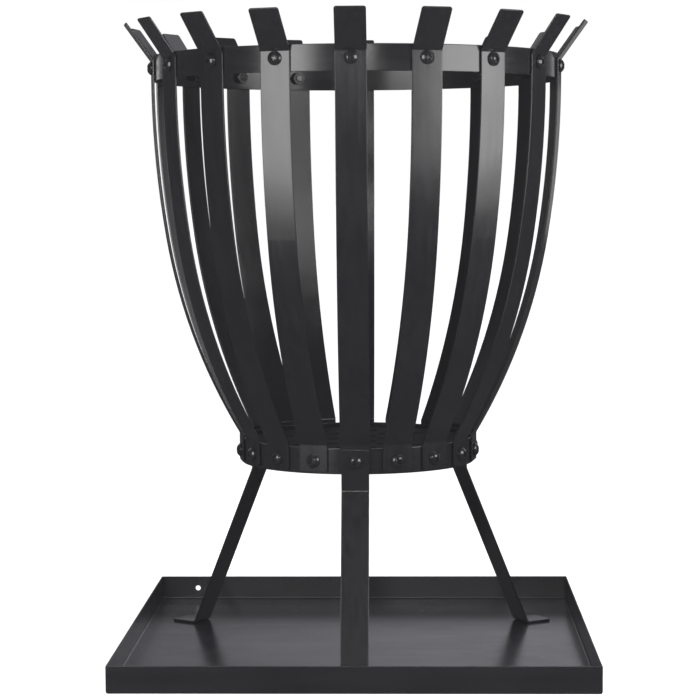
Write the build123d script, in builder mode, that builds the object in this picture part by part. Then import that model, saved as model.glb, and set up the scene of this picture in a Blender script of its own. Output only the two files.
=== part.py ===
from build123d import *
import math
import os

os.makedirs("parts", exist_ok=True)

# Garden fire basket: two steel hoops carry eighteen bent flat-bar slats and three
# splayed legs, all screwed together; a loose perforated grate lies inside the lower
# hoop and the whole basket stands loose in a folded ash tray.
# Frame: origin at the centre of the tray's underside, +Z up, -Y towards the front
# (the side with the single front leg). Lengths in millimetres.

# ---------------------------------------------------------------- driving sizes
slat_count = 18
slat_pitch = 360.0 / slat_count

# upper and lower hoop: flat bar rolled on the flat
hoop_bar_h = 21.0
hoop_bar_t = 2.0
upper_hoop_r = 170.0            # outer radius
lower_hoop_r = 98.5             # outer radius
upper_hoop_z = 478.0            # lower edge of the band
lower_hoop_z = 158.0            # lower edge of the band
hoop_edge_r = 0.4
upper_mid_z = upper_hoop_z + hoop_bar_h / 2
lower_mid_z = lower_hoop_z + hoop_bar_h / 2

# slats: flat strip, vertical tab on the lower hoop, bulging sides, fin at the top
slat_w = 24.5
slat_t = 1.5
slat_tab_z = 159.5              # lower end of the tab
slat_kink_z = 181.5             # where the tab starts to lean outwards
slat_top_arc_z = 482.7          # where the side has become vertical
slat_top_arc_r = 830.0          # outer face radius of the upper, flatter part of the side
slat_top_arc_deg = 9.3          # lean where the two side arcs meet
slat_bend_r = 1.4               # inside radius of the sharp bends
fin_z = 493.6                   # start of the fin's bend
fin_deg = 36.0                  # fin's lean from the vertical
fin_len = 37.4
slat_corner_r = 2.0
slat_edge_r = 0.3

# legs: flat strip, tab outside the slat tab, splayed shank, foot on the tray floor
leg_count = 3
leg_every = slat_count // leg_count
leg_w = 22.5
leg_t = 2.0
leg_top_z = 178.6
leg_kink_z = 145.6
leg_reach_r = 167.0             # outer face of the shank at the tray floor
leg_bend_r = 2.5
foot_tip_r = 189.0
leg_corner_r = 1.5
leg_edge_r = 0.35

# ash tray: folded sheet
tray_w = 383.0
tray_h = 22.0
tray_t = 1.0
tray_bend_r = 2.2               # outside radius of the folds
tray_seam = 0.4                 # gap at the folded corners
tray_hole_r = 2.4
tray_hole_x = -157.0
tray_hole_z = 11.0

# fasteners: pan-head screws with a cross recess and hexagon nuts, thread size 6
screw_r = 3.0
screw_hole_r = 3.25
head_r = 5.5
head_h = 3.9
head_rim = 1.1
recess_w = 1.15
recess_len = 4.2
recess_deg = 14.0
nut_af = 10.0
nut_h = 5.0
upper_screw_len = 10.0
lower_screw_len = 10.0
leg_screw_len = 12.0

# fire grate: perforated disc lying on the nuts inside the lower hoop
grate_r = 95.0
grate_t = 2.0
grate_hole_r = 5.5
grate_ring_step = 21.5
grate_rings = 4
grate_rest_gap = 0.1

# ------------------------------------------------------------- derived geometry
seat_gap = 0.02                                  # a flat strip just clears the rolled hoop
slat_face_upper = upper_hoop_r + slat_t + seat_gap   # outer face of a slat on the upper hoop
slat_face_lower = lower_hoop_r + slat_t + seat_gap   # outer face of a slat's tab
leg_face = slat_face_lower + leg_t               # outer face of a leg's tab

# the nut's flat face sits inside a rolled hoop, so its corners set how close it comes
nut_corner_r = nut_af / 2 / math.cos(math.radians(30))
upper_nut_face = math.sqrt((upper_hoop_r - hoop_bar_t) ** 2 - nut_corner_r ** 2) - 0.02
lower_nut_face = math.sqrt((lower_hoop_r - hoop_bar_t) ** 2 - nut_corner_r ** 2) - 0.02


def strip_edges(start, heading_deg, moves, thickness):
    """Both long sides of a bent strip, from a path of its middle line.

    start is (radius, height); heading_deg is measured from straight up towards
    outwards; a move is ("line", length) or ("bend", middle radius, degrees), positive
    towards outwards. Returns the segments of the left and of the right side.
    """
    r, z = start
    a = math.radians(heading_deg)
    left, right = [], []

    def side(pr, pz, ang, s):
        return (pr + s * thickness / 2 * math.cos(ang), pz - s * thickness / 2 * math.sin(ang))

    for move in moves:
        r0, z0, a0 = r, z, a
        if move[0] == "line":
            r += move[1] * math.sin(a)
            z += move[1] * math.cos(a)
            left.append(("line", side(r0, z0, a0, -1), side(r, z, a, -1)))
            right.append(("line", side(r0, z0, a0, 1), side(r, z, a, 1)))
        else:
            rad, turn = move[1], math.radians(move[2])
            sgn = 1 if turn > 0 else -1
            cr = r0 + sgn * rad * math.cos(a0)
            cz = z0 - sgn * rad * math.sin(a0)

            def at(ang):
                return (cr - sgn * rad * math.cos(ang), cz + sgn * rad * math.sin(ang))

            am, a = a0 + turn / 2, a0 + turn
            rm, zm = at(am)
            r, z = at(a)
            left.append(("arc", side(r0, z0, a0, -1), side(rm, zm, am, -1), side(r, z, a, -1)))
            right.append(("arc", side(r0, z0, a0, 1), side(rm, zm, am, 1), side(r, z, a, 1)))
    return left, right


# slat: the lean at the kink and the radius of the lower side arc follow from the hoops
kink_mid_r = slat_bend_r + slat_t / 2
a1 = math.radians(slat_top_arc_deg)
top_mid_r = slat_top_arc_r - slat_t / 2
rise = slat_top_arc_z - slat_kink_z
reach = slat_face_upper - slat_face_lower


def lean_error(lean):
    # both the rise and the reach of the lower arc are known once the lean is chosen
    dz = rise - top_mid_r * math.sin(a1) - kink_mid_r * math.sin(lean)
    dr = reach - top_mid_r * (1 - math.cos(a1)) - kink_mid_r * (1 - math.cos(lean))
    return dr / dz - math.tan((lean + a1) / 2)


low, high = a1 + 0.01, 1.2
for _ in range(80):
    mid = (low + high) / 2
    if lean_error(mid) > 0:
        low = mid
    else:
        high = mid
slat_lean = (low + high) / 2
side_mid_r = (rise - top_mid_r * math.sin(a1) - kink_mid_r * math.sin(slat_lean)) / (
    math.sin(slat_lean) - math.sin(a1))
print("slat lean at the kink", round(math.degrees(slat_lean), 2), "deg, lower side arc", round(side_mid_r, 1), "mm")

slat_left, slat_right = strip_edges(
    (slat_face_lower - slat_t / 2, slat_tab_z), 0.0,
    [
        ("line", slat_kink_z - slat_tab_z),
        ("bend", kink_mid_r, math.degrees(slat_lean)),
        ("bend", side_mid_r, -(math.degrees(slat_lean) - slat_top_arc_deg)),
        ("bend", top_mid_r, -slat_top_arc_deg),
        ("line", fin_z - slat_top_arc_z),
        ("bend", slat_bend_r + slat_t / 2, fin_deg),
        ("line", fin_len),
    ],
    slat_t,
)

# leg: read from the top of its tab downwards (heading 180 degrees)
leg_slope = math.atan((leg_reach_r - leg_face) / (leg_kink_z - tray_t))
bend_mid = leg_bend_r + leg_t / 2
slope_len_r = leg_reach_r - leg_face
shank = (slope_len_r / math.sin(leg_slope)
         - bend_mid * math.tan(leg_slope / 2)
         - (bend_mid + leg_t / 2) * math.tan((math.pi / 2 - leg_slope) / 2))
# first pass finds where the foot ends up, second pass sets its length and height
for _ in range(40):
    probe_left, probe_right = strip_edges(
        (leg_face - leg_t / 2, leg_top_z), 180.0,
        [
            ("line", leg_top_z - leg_kink_z),
            ("bend", bend_mid, -math.degrees(leg_slope)),
            ("line", shank),
            ("bend", bend_mid, -(90 - math.degrees(leg_slope))),
            ("line", 1.0),
        ],
        leg_t,
    )
    foot_low = min(probe_left[-1][1][1], probe_right[-1][1][1])
    shank += (foot_low - tray_t) / math.cos(leg_slope)
foot_start_r = probe_left[-1][1][0]
leg_left, leg_right = strip_edges(
    (leg_face - leg_t / 2, leg_top_z), 180.0,
    [
        ("line", leg_top_z - leg_kink_z),
        ("bend", bend_mid, -math.degrees(leg_slope)),
        ("line", shank),
        ("bend", bend_mid, -(90 - math.degrees(leg_slope))),
        ("line", foot_tip_r - foot_start_r),
    ],
    leg_t,
)
print("leg slope", round(math.degrees(leg_slope), 2), "deg, foot from radius", round(foot_start_r, 1))

# ------------------------------------------------------------------------ hoops
slat_angles = [-90.0 + slat_pitch * i for i in range(slat_count)]
leg_angles = [-90.0 + 360.0 / leg_count * i for i in range(leg_count)]


def radial_plane(angle, height):
    c, s = math.cos(math.radians(angle)), math.sin(math.radians(angle))
    return Plane(origin=(0, 0, height), x_dir=(-s, c, 0), z_dir=(c, s, 0))


with BuildPart() as upper_hoop:
    with BuildSketch(Plane.XY.offset(upper_hoop_z)) as upper_ring:
        Circle(upper_hoop_r)
        Circle(upper_hoop_r - hoop_bar_t, mode=Mode.SUBTRACT)
    extrude(amount=hoop_bar_h)
    fillet(upper_hoop.edges().filter_by(GeomType.CIRCLE), radius=hoop_edge_r)
    with BuildSketch(*[radial_plane(a, upper_mid_z) for a in slat_angles]) as upper_holes:
        Circle(screw_hole_r)
    extrude(amount=upper_hoop_r + 5, mode=Mode.SUBTRACT)
upper_hoop.part.label = "upper_hoop"
export_step(upper_hoop.part, "parts/upper_hoop.step")

with BuildPart() as lower_hoop:
    with BuildSketch(Plane.XY.offset(lower_hoop_z)) as lower_ring:
        Circle(lower_hoop_r)
        Circle(lower_hoop_r - hoop_bar_t, mode=Mode.SUBTRACT)
    extrude(amount=hoop_bar_h)
    fillet(lower_hoop.edges().filter_by(GeomType.CIRCLE), radius=hoop_edge_r)
    with BuildSketch(*[radial_plane(a, lower_mid_z) for a in slat_angles]) as lower_holes:
        Circle(screw_hole_r)
    extrude(amount=lower_hoop_r + 5, mode=Mode.SUBTRACT)
lower_hoop.part.label = "lower_hoop"
export_step(lower_hoop.part, "parts/lower_hoop.step")

# ------------------------------------------------------------------------ slats
# One slat is shaped facing +X, then set round the hoops.
with BuildPart() as slat_blank:
    with BuildSketch(Plane.XZ) as slat_profile:
        with BuildLine() as slat_outline:
            for seg in slat_left + slat_right:
                if seg[0] == "line":
                    Line(seg[1], seg[2])
                else:
                    ThreePointArc(seg[1], seg[2], seg[3])
            Line(slat_left[0][1], slat_right[0][1])
            Line(slat_left[-1][-1], slat_right[-1][-1])
        make_face()
    extrude(amount=slat_w / 2, both=True)
    tip_corners = slat_blank.edges().filter_by(lambda e: abs(e.length - slat_t) < 1e-3).sort_by(Axis.Z)
    fillet(tip_corners[:2] + tip_corners[-2:], radius=slat_corner_r)
    side_edges = [e for e in slat_blank.edges() if abs(abs(e.center().Y) - slat_w / 2) < 1e-3]
    fillet(side_edges, radius=slat_edge_r)
    with BuildSketch(Plane.YZ) as slat_holes:
        with Locations((0, upper_mid_z), (0, lower_mid_z)):
            Circle(screw_hole_r)
    extrude(amount=upper_hoop_r + 60, mode=Mode.SUBTRACT)

for i in range(slat_count):
    with BuildPart() as slat:
        add(slat_blank.part, rotation=(0, 0, slat_angles[i]))
    slat.part.label = "slat_%02d" % (i + 1)
    export_step(slat.part, "parts/slat_%02d.step" % (i + 1))

# ------------------------------------------------------------------------- legs
with BuildPart() as leg_blank:
    with BuildSketch(Plane.XZ) as leg_profile:
        with BuildLine() as leg_outline:
            for seg in leg_left + leg_right:
                if seg[0] == "line":
                    Line(seg[1], seg[2])
                else:
                    ThreePointArc(seg[1], seg[2], seg[3])
            Line(leg_left[0][1], leg_right[0][1])
            Line(leg_left[-1][-1], leg_right[-1][-1])
        make_face()
    extrude(amount=leg_w / 2, both=True)
    end_corners = leg_blank.edges().filter_by(lambda e: abs(e.length - leg_t) < 1e-3).sort_by(Axis.Z)
    fillet(end_corners[:2] + end_corners[-2:], radius=leg_corner_r)
    leg_side_edges = [e for e in leg_blank.edges() if abs(abs(e.center().Y) - leg_w / 2) < 1e-3]
    fillet(leg_side_edges, radius=leg_edge_r)
    with BuildSketch(Plane.YZ) as leg_hole:
        with Locations((0, lower_mid_z)):
            Circle(screw_hole_r)
    extrude(amount=lower_hoop_r + 30, mode=Mode.SUBTRACT)

leg_names = ["leg_front", "leg_rear_right", "leg_rear_left"]
for name, angle in zip(leg_names, leg_angles):
    with BuildPart() as leg:
        add(leg_blank.part, rotation=(0, 0, angle))
    leg.part.label = name
    export_step(leg.part, "parts/%s.step" % name)


# -------------------------------------------------------------------- fasteners
# A screw is shaped along +X with its head's seat at X = 0.
def screw_outline(length):
    return [(-length, 0), (-length, screw_r - 0.5), (-length + 0.6, screw_r), (0, screw_r),
            (0, head_r - 0.3), (0.3, head_r), (head_rim, head_r)]


with BuildPart() as short_screw:
    with BuildSketch(Plane.XY) as short_half:
        with BuildLine() as short_line:
            Polyline(*screw_outline(upper_screw_len))
            ThreePointArc((head_rim, head_r), (head_h * 0.80, head_r * 0.62), (head_h, 0))
            Line((head_h, 0), (-upper_screw_len, 0))
        make_face()
    revolve(axis=Axis.X)
    with BuildSketch(Plane(origin=(head_h - 2.2, 0, 0), x_dir=(0, 1, 0), z_dir=(1, 0, 0))) as short_cross:
        Rectangle(recess_w, recess_len)
        Rectangle(recess_len, recess_w)
    extrude(amount=3.0, taper=-recess_deg, mode=Mode.SUBTRACT)

with BuildPart() as long_screw:
    with BuildSketch(Plane.XY) as long_half:
        with BuildLine() as long_line:
            Polyline(*screw_outline(leg_screw_len))
            ThreePointArc((head_rim, head_r), (head_h * 0.80, head_r * 0.62), (head_h, 0))
            Line((head_h, 0), (-leg_screw_len, 0))
        make_face()
    revolve(axis=Axis.X)
    with BuildSketch(Plane(origin=(head_h - 2.2, 0, 0), x_dir=(0, 1, 0), z_dir=(1, 0, 0))) as long_cross:
        Rectangle(recess_w, recess_len)
        Rectangle(recess_len, recess_w)
    extrude(amount=3.0, taper=-recess_deg, mode=Mode.SUBTRACT)

# A nut is shaped along -X from its seat at X = 0, with a flat upwards and eased corners.
with BuildPart() as nut_envelope:
    with BuildSketch(Plane.XY) as nut_half:
        with BuildLine() as nut_line:
            Polyline((0, 0), (0, nut_corner_r - 0.05), (-nut_h + 0.9, nut_corner_r - 0.05),
                     (-nut_h, nut_af / 2 - 0.2), (-nut_h, 0), close=True)
        make_face()
    revolve(axis=Axis.X)

with BuildPart() as nut:
    with BuildSketch(Plane.YZ) as nut_hex:
        RegularPolygon(radius=nut_af / 2, side_count=6, major_radius=False)
        Circle(screw_r, mode=Mode.SUBTRACT)
    extrude(amount=-nut_h)
    add(nut_envelope.part, mode=Mode.INTERSECT)


def around(radius, height, angles, spin):
    """Seats on a circle, local X outwards; spin turns a piece about its own axis."""
    seats = []
    for angle in angles:
        c, s = math.cos(math.radians(angle)), math.sin(math.radians(angle))
        turn = (angle * spin) % 90.0 if spin else 0.0
        seats.append(Location((radius * c, radius * s, height), (0, 0, angle)) * Location((0, 0, 0), (turn, 0, 0)))
    return seats


tab_angles = [a for i, a in enumerate(slat_angles) if i % leg_every]

with BuildPart() as upper_screws:
    with Locations(*around(slat_face_upper, upper_mid_z, slat_angles, 1.37)):
        add(short_screw.part)
upper_screws.part.label = "upper_screws"
export_step(upper_screws.part, "parts/upper_screws.step")

with BuildPart() as upper_nuts:
    with Locations(*around(upper_nut_face, upper_mid_z, slat_angles, 0)):
        add(nut.part)
upper_nuts.part.label = "upper_nuts"
export_step(upper_nuts.part, "parts/upper_nuts.step")

with BuildPart() as lower_screws:
    with Locations(*around(slat_face_lower, lower_mid_z, tab_angles, 2.11)):
        add(short_screw.part)
lower_screws.part.label = "lower_screws"
export_step(lower_screws.part, "parts/lower_screws.step")

with BuildPart() as leg_screws:
    with Locations(*around(leg_face, lower_mid_z, leg_angles, 1.13)):
        add(long_screw.part)
leg_screws.part.label = "leg_screws"
export_step(leg_screws.part, "parts/leg_screws.step")

with BuildPart() as lower_nuts:
    with Locations(*around(lower_nut_face, lower_mid_z, slat_angles, 0)):
        add(nut.part)
lower_nuts.part.label = "lower_nuts"
export_step(lower_nuts.part, "parts/lower_nuts.step")

# ------------------------------------------------------------------- fire grate
# It lies on the upper flats of the nuts inside the lower hoop.
with BuildPart() as fire_grate:
    with BuildSketch(Plane.XY.offset(lower_mid_z + nut_af / 2 + grate_rest_gap)) as grate_disc:
        Circle(grate_r)
        with Locations((0, 0)):
            Circle(grate_hole_r, mode=Mode.SUBTRACT)
        for ring in range(1, grate_rings + 1):
            if ring * grate_ring_step + grate_hole_r < grate_r - 4:
                with PolarLocations(ring * grate_ring_step, 6 * ring):
                    Circle(grate_hole_r, mode=Mode.SUBTRACT)
    extrude(amount=grate_t)
    fillet(fire_grate.edges().filter_by(GeomType.CIRCLE).filter_by(lambda e: e.length > 300), radius=0.4)
fire_grate.part.label = "fire_grate"
export_step(fire_grate.part, "parts/fire_grate.step")

# --------------------------------------------------------------------- ash tray
with BuildPart() as ash_tray:
    with BuildSketch(Plane.XY) as tray_plan:
        Rectangle(tray_w, tray_w)
    extrude(amount=tray_h)
    fillet(ash_tray.faces().sort_by(Axis.Z)[0].edges(), radius=tray_bend_r)
    offset(amount=-tray_t, openings=ash_tray.faces().sort_by(Axis.Z)[-1])
    fillet(ash_tray.faces().sort_by(Axis.Z)[-1].edges(), radius=0.25)
    # folded corners: a side wall ends just short of the front and back walls
    with BuildSketch(Plane.XY.offset(tray_bend_r + 0.4)) as tray_seams:
        with Locations(*[(sx * (tray_w / 2 - tray_t / 2), sy * (tray_w / 2 - tray_t - tray_seam / 2))
                         for sx in (-1, 1) for sy in (-1, 1)]):
            Rectangle(tray_t + 0.4, tray_seam)
    extrude(amount=tray_h, mode=Mode.SUBTRACT)
    # small hanging hole in the back wall
    with BuildSketch(Plane(origin=(tray_hole_x, tray_w / 2 + 1, tray_hole_z), x_dir=(1, 0, 0), z_dir=(0, -1, 0))) as tray_hole:
        Circle(tray_hole_r)
    extrude(amount=5, mode=Mode.SUBTRACT)
ash_tray.part.label = "ash_tray"
export_step(ash_tray.part, "parts/ash_tray.step")
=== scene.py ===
import math

import bpy
from mathutils import Matrix, Vector

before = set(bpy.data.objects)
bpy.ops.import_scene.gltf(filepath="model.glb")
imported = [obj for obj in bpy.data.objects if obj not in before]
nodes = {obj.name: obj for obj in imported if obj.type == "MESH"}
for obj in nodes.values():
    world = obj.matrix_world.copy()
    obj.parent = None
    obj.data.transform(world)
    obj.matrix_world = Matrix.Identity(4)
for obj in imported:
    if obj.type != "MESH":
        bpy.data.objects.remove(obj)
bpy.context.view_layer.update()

scene = bpy.context.scene
scene.view_settings.view_transform = "Standard"
scene.view_settings.look = "None"


# --------------------------------------------------------------------------
# camera: a long lens in front of the basket, a little above it
# --------------------------------------------------------------------------

FOCAL_PX = 2148.52
EYE = Vector((0.04355, -1.81985, 0.39042))
YAW, PITCH, ROLL = 0.02747, -0.07621, -0.0055


def camera_matrix(eye, yaw, pitch, roll):
    ahead = Vector((-math.sin(yaw), math.cos(yaw), 0.0))
    right = Vector((math.cos(yaw), math.sin(yaw), 0.0))
    up = Vector((0.0, 0.0, 1.0))
    look = ahead * math.cos(pitch) + up * math.sin(pitch)
    lift = -ahead * math.sin(pitch) + up * math.cos(pitch)
    x = right * math.cos(roll) + lift * math.sin(roll)
    y = -right * math.sin(roll) + lift * math.cos(roll)
    m = Matrix((x, y, -look)).transposed().to_4x4()
    m.translation = eye
    return m


cam_data = bpy.data.cameras.new("camera")
cam_data.sensor_width = 36.0
cam_data.lens = FOCAL_PX / 700.0 * 36.0
cam_data.clip_start = 0.05
cam_data.clip_end = 100.0
cam = bpy.data.objects.new("camera", cam_data)
scene.collection.objects.link(cam)
cam.matrix_world = camera_matrix(EYE, YAW, PITCH, ROLL)
scene.camera = cam


# --------------------------------------------------------------------------
# node helpers
# --------------------------------------------------------------------------


class Tree:
    """A few words for building a node tree."""

    def __init__(self, tree):
        self.tree = tree
        self.nodes = tree.nodes
        self.links = tree.links

    def put(self, kind, **settings):
        n = self.nodes.new(kind)
        for k, v in settings.items():
            setattr(n, k, v)
        return n

    def join(self, value, socket):
        if isinstance(value, bpy.types.NodeSocket):
            self.links.new(value, socket)
        else:
            socket.default_value = value

    def math(self, op, a, b=None, c=None, clamp=False):
        n = self.put("ShaderNodeMath", operation=op, use_clamp=clamp)
        self.join(a, n.inputs[0])
        if b is not None:
            self.join(b, n.inputs[1])
        if c is not None:
            self.join(c, n.inputs[2])
        return n.outputs[0]

    def ramp(self, value, lo, hi, to_lo=0.0, to_hi=1.0, smooth=True):
        n = self.put("ShaderNodeMapRange", clamp=True)
        n.interpolation_type = "SMOOTHSTEP" if smooth else "LINEAR"
        self.join(value, n.inputs["Value"])
        n.inputs["From Min"].default_value = lo
        n.inputs["From Max"].default_value = hi
        n.inputs["To Min"].default_value = to_lo
        n.inputs["To Max"].default_value = to_hi
        return n.outputs["Result"]

    def noise(self, where, scale, detail=2.0, rough=0.5, distortion=0.0):
        n = self.put("ShaderNodeTexNoise")
        self.join(where, n.inputs["Vector"])
        n.inputs["Scale"].default_value = scale
        n.inputs["Detail"].default_value = detail
        n.inputs["Roughness"].default_value = rough
        n.inputs["Distortion"].default_value = distortion
        return n.outputs["Fac"]

    def voronoi(self, where, scale, randomness=1.0):
        n = self.put("ShaderNodeTexVoronoi")
        self.join(where, n.inputs["Vector"])
        n.inputs["Scale"].default_value = scale
        n.inputs["Randomness"].default_value = randomness
        return n.outputs["Distance"]

    def stretch(self, where, scale):
        n = self.put("ShaderNodeVectorMath", operation="MULTIPLY")
        self.join(where, n.inputs[0])
        n.inputs[1].default_value = scale
        return n.outputs[0]

    def mix(self, factor, a, b):
        n = self.put("ShaderNodeMix", data_type="RGBA", clamp_factor=True)
        self.join(factor, n.inputs[0])
        self.join(a, n.inputs[6])
        self.join(b, n.inputs[7])
        return n.outputs[2]

    def bump(self, height, distance, strength=1.0, normal=None):
        n = self.put("ShaderNodeBump")
        self.join(height, n.inputs["Height"])
        n.inputs["Distance"].default_value = distance
        n.inputs["Strength"].default_value = strength
        if normal is not None:
            self.join(normal, n.inputs["Normal"])
        return n.outputs["Normal"]


def paint(
    name,
    base,
    worn,
    roughness,
    swing,
    peel,
    wobble,
    round_mm,
    edge_amount,
    dust,
    grain=(1.0, 1.0, 1.0),
    grain_scale=60.0,
    specular=0.5,
):
    """Black paint on steel: soft clouds of tone, faint streaks along the metal's grain, an orange-peel skin,
    softly rounded edges where the paint is thinner, and a trace of dust on what faces up."""
    mat = bpy.data.materials.new(name)
    mat.use_nodes = True
    t = Tree(mat.node_tree)
    t.nodes.clear()
    out = t.put("ShaderNodeOutputMaterial")
    bsdf = t.put("ShaderNodeBsdfPrincipled")
    t.links.new(bsdf.outputs[0], out.inputs[0])
    at = t.put("ShaderNodeTexCoord").outputs["Object"]
    geo = t.put("ShaderNodeNewGeometry")

    # tone: wide clouds, a fine mottle and streaks
    clouds = t.noise(at, 11.0, detail=2.0, rough=0.5)
    mottle = t.noise(at, 240.0, detail=2.0, rough=0.6)
    streaks = t.noise(t.stretch(at, grain), grain_scale, detail=3.0, rough=0.55)
    tone = t.math("ADD", t.math("MULTIPLY", clouds, 0.40), t.math("MULTIPLY", mottle, 0.25))
    tone = t.math("ADD", tone, t.math("MULTIPLY", streaks, 0.35))
    lighter = tuple(c * 1.25 for c in base) + (1.0,)
    darker = tuple(c * 0.80 for c in base) + (1.0,)
    colour = t.mix(t.ramp(tone, 0.36, 0.64), darker, lighter)

    # edges are rounded over, and the paint thins out along them
    bevel = t.put("ShaderNodeBevel", samples=6)
    bevel.inputs["Radius"].default_value = round_mm / 1000.0
    dot = t.put("ShaderNodeVectorMath", operation="DOT_PRODUCT")
    t.links.new(bevel.outputs[0], dot.inputs[0])
    t.links.new(geo.outputs["Normal"], dot.inputs[1])
    edge = t.ramp(dot.outputs["Value"], 0.98, 0.80)
    patches = t.ramp(t.noise(at, 55.0, detail=4.0, rough=0.65), 0.45, 0.65)
    wear = t.math("MULTIPLY", edge, t.math("MULTIPLY_ADD", patches, 0.7, 0.3))
    wear = t.math("MULTIPLY", wear, edge_amount)
    colour = t.mix(wear, colour, tuple(worn) + (1.0,))

    # dust lies on what faces up
    split = t.put("ShaderNodeSeparateXYZ")
    t.links.new(geo.outputs["Normal"], split.inputs[0])
    up = t.ramp(split.outputs["Z"], 0.55, 0.95)
    specks = t.ramp(t.voronoi(at, 380.0), 0.14, 0.05)
    thin = t.ramp(t.noise(at, 24.0, detail=5.0, rough=0.7), 0.40, 0.75)
    film = t.math("ADD", t.math("MULTIPLY", thin, 0.06), t.math("MULTIPLY", t.math("MULTIPLY", specks, thin), 0.30))
    film = t.math("MULTIPLY", t.math("MULTIPLY", film, up), dust)
    colour = t.mix(film, colour, (0.30, 0.29, 0.275, 1.0))
    t.links.new(colour, bsdf.inputs["Base Color"])

    # sheen: paint that varies a little from glossy to satin, mostly along the grain
    smears = t.noise(at, 16.0, detail=3.0, rough=0.55, distortion=0.3)
    sheen = t.math("ADD", t.math("MULTIPLY", smears, 0.5), t.math("MULTIPLY", streaks, 0.5))
    rough = t.math("MULTIPLY_ADD", t.ramp(sheen, 0.35, 0.65), 2.0 * swing, roughness - swing)
    rough = t.math("ADD", rough, t.math("MULTIPLY", film, 0.8))
    rough = t.math("ADD", rough, t.math("MULTIPLY", wear, 0.10), clamp=True)
    t.links.new(rough, bsdf.inputs["Roughness"])

    # skin: orange peel on paint, and the slight waves of rolled bar
    waves = t.noise(at, 26.0, detail=1.0, rough=0.4)
    skin = t.noise(at, 700.0, detail=2.0, rough=0.55)
    normal = t.bump(waves, wobble / 1000.0, normal=bevel.outputs[0])
    normal = t.bump(skin, peel / 1000.0, normal=normal)
    t.links.new(normal, bsdf.inputs["Normal"])

    bsdf.inputs["Metallic"].default_value = 0.0
    bsdf.inputs["IOR"].default_value = 1.5
    bsdf.inputs["Specular IOR Level"].default_value = specular
    return mat


frame_paint = paint(
    "frame_paint", (0.0085, 0.0085, 0.0092), (0.045, 0.044, 0.044),
    roughness=0.225, swing=0.028, peel=0.025, wobble=0.28,
    round_mm=0.8, edge_amount=0.35, dust=0.25, grain=(1.0, 1.0, 0.05), grain_scale=240.0,
)
hoop_paint = paint(
    "hoop_paint", (0.0085, 0.0085, 0.0092), (0.045, 0.044, 0.044),
    roughness=0.225, swing=0.025, peel=0.020, wobble=0.22,
    round_mm=0.8, edge_amount=0.35, dust=0.25, grain=(0.06, 0.06, 1.0), grain_scale=240.0,
)
screw_finish = paint(
    "screw_finish", (0.0100, 0.0100, 0.0110), (0.060, 0.058, 0.057),
    roughness=0.17, swing=0.035, peel=0.008, wobble=0.04,
    round_mm=0.25, edge_amount=0.35, dust=0.10,
)
nut_finish = paint(
    "nut_finish", (0.0110, 0.0110, 0.0115), (0.060, 0.058, 0.057),
    roughness=0.34, swing=0.05, peel=0.010, wobble=0.05,
    round_mm=0.3, edge_amount=0.35, dust=0.15,
)
grate_paint = paint(
    "grate_paint", (0.0095, 0.0093, 0.0092), (0.04, 0.038, 0.036),
    roughness=0.72, swing=0.05, peel=0.040, wobble=0.20,
    round_mm=0.7, edge_amount=0.3, dust=0.12, specular=0.08,
)
tray_paint = paint(
    "tray_paint", (0.0100, 0.0100, 0.0112), (0.050, 0.048, 0.048),
    roughness=0.25, swing=0.018, peel=0.018, wobble=0.22,
    round_mm=0.9, edge_amount=0.35, dust=0.20, grain=(0.05, 1.0, 1.0), grain_scale=120.0,
)

for name, node in nodes.items():
    if name == "ash_tray":
        finish = tray_paint
    elif name == "fire_grate":
        finish = grate_paint
    elif name.endswith("screws"):
        finish = screw_finish
    elif name.endswith("nuts"):
        finish = nut_finish
    elif name.endswith("hoop"):
        finish = hoop_paint
    else:
        finish = frame_paint
    for s in node.material_slots:
        s.material = finish


# --------------------------------------------------------------------------
# floor
# --------------------------------------------------------------------------

floor_mesh = bpy.data.meshes.new("floor")
R = 40.0
floor_mesh.from_pydata([(-R, -R, 0), (R, -R, 0), (R, R, 0), (-R, R, 0)], [], [(0, 1, 2, 3)])
floor = bpy.data.objects.new("floor", floor_mesh)
scene.collection.objects.link(floor)
floor.location.z = -0.0001
floor.visible_glossy = False

mat = bpy.data.materials.new("floor")
mat.use_nodes = True
t = Tree(mat.node_tree)
bsdf = t.nodes["Principled BSDF"]
bsdf.inputs["Base Color"].default_value = (0.82, 0.82, 0.82, 1.0)
bsdf.inputs["Roughness"].default_value = 0.9
bsdf.inputs["Specular IOR Level"].default_value = 0.1
bsdf.inputs["Emission Color"].default_value = (1, 1, 1, 1)
bsdf.inputs["Emission Strength"].default_value = 0.84
floor_mesh.materials.append(mat)


# --------------------------------------------------------------------------
# light: a white sweep low behind, a dim ceiling, two tall soft boxes in front, a lamp
# over the camera, and dim boxes behind that show the other sides
# --------------------------------------------------------------------------

world = bpy.data.worlds.new("studio")
scene.world = world
world.use_nodes = True
t = Tree(world.node_tree)
t.nodes.clear()
out = t.put("ShaderNodeOutputWorld")
way = t.put("ShaderNodeTexCoord").outputs["Generated"]
split = t.put("ShaderNodeSeparateXYZ")
t.links.new(way, split.inputs[0])
x, y, z = split.outputs
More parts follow.
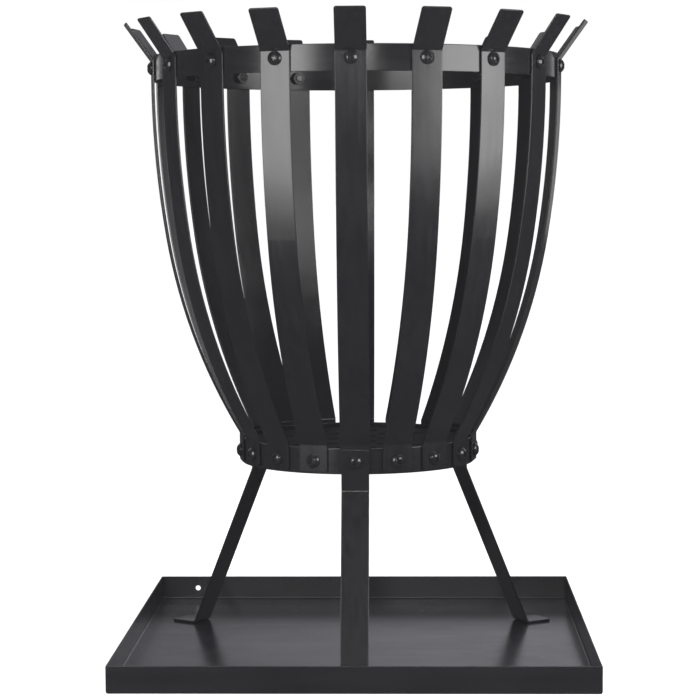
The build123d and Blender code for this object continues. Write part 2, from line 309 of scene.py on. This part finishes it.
# a bright sweep low behind the object, to the right of straight behind, a paler one above
# it, and a dim room all round
toward = t.math("ADD", t.math("MULTIPLY", x, 0.36), t.math("MULTIPLY", y, 0.933))
behind = t.ramp(toward, 0.76, 0.985)
low = t.math("MULTIPLY", t.ramp(z, 0.06, 0.15), t.ramp(z, 0.34, 0.18))
sweep = t.math("MULTIPLY", t.math("MULTIPLY", behind, low), 0.96)
ceiling = t.math("MULTIPLY", t.ramp(z, 0.70, 0.95), 0.30)
crown = t.math("MULTIPLY", t.math("MULTIPLY", t.ramp(y, 0.28, 0.55), t.ramp(z, 0.38, 0.55)), 0.80)
glow = t.math("ADD", t.math("ADD", t.math("ADD", sweep, ceiling), crown), 0.050)
bg = t.put("ShaderNodeBackground")
bg.inputs["Color"].default_value = (0.98, 0.965, 1.045, 1.0)
t.links.new(glow, bg.inputs["Strength"])
seen = t.put("ShaderNodeBackground")
seen.inputs["Color"].default_value = (1.0, 1.0, 1.0, 1.0)
seen.inputs["Strength"].default_value = 1.0
ray = t.put("ShaderNodeLightPath")
mix = t.put("ShaderNodeMixShader")
t.links.new(ray.outputs["Is Camera Ray"], mix.inputs[0])
t.links.new(bg.outputs[0], mix.inputs[1])
t.links.new(seen.outputs[0], mix.inputs[2])
t.links.new(mix.outputs[0], out.inputs[0])


def soft_box(name, left, right, bottom, top, radiance):
    """An upright soft box between two points on the floor plan, named as its left and right edge seen from the object."""
    a, b = Vector((*left, 0.0)), Vector((*right, 0.0))
    along = (b - a).normalized()
    shines = along.cross(Vector((0.0, 0.0, 1.0)))
    if shines.dot(-(a + b)) < 0:
        shines = -shines
    width, height = (b - a).length, top - bottom
    data = bpy.data.lights.new(name, "AREA")
    data.shape = "RECTANGLE"
    data.size, data.size_y = width, height
    data.energy = radiance * math.pi * width * height
    light = bpy.data.objects.new(name, data)
    scene.collection.objects.link(light)
    light.location = (a + b) / 2 + Vector((0.0, 0.0, (bottom + top) / 2))
    light.rotation_mode = "QUATERNION"
    light.rotation_quaternion = (-shines).to_track_quat("Z", "Y")
    light.visible_camera = False
    return light


soft_box("key_left", (-0.700, -0.700), (-0.392, -0.875), 0.245, 0.85, 7.5)
soft_box("key_left_feather", (-0.392, -0.875), (-0.315, -0.919), 0.250, 0.85, 4.4)
soft_box("key_left_low", (-0.700, -0.700), (-0.350, -0.899), 0.130, 0.250, 3.6)
soft_box("key_right", (0.570, -0.731), (0.839, -0.179), 0.300, 0.75, 7.2)
soft_box("key_right_low", (0.625, -0.620), (0.839, -0.179), 0.215, 0.300, 3.2)
soft_box("strip", (0.120, -1.45), (0.222, -1.45), 0.50, 0.85, 12.5)
soft_box("brow", (-0.420, -6.0), (0.180, -6.0), 1.75, 2.25, 30.0)
soft_box("rim_right", (0.600, 1.10), (0.280, 1.10), 0.28, 0.52, 0.30)
soft_box("rear_right", (0.755, 0.790), (0.610, 0.910), 0.28, 0.75, 0.9)
soft_box("rear_left", (-0.610, 0.910), (-0.755, 0.790), 0.28, 0.75, 1.2)


# --------------------------------------------------------------------------
# the white surroundings veil the lens a little, so black never quite reaches zero
# --------------------------------------------------------------------------

scene.use_nodes = True
veil = scene.node_tree
veil.nodes.clear()
layers = veil.nodes.new("CompositorNodeRLayers")
add = veil.nodes.new("CompositorNodeMixRGB")
add.blend_type = "ADD"
add.inputs[0].default_value = 1.0
add.inputs[2].default_value = (0.0100, 0.0098, 0.0107, 1.0)
final = veil.nodes.new("CompositorNodeComposite")
veil.links.new(layers.outputs["Image"], add.inputs[1])
veil.links.new(add.outputs[0], final.inputs[0])
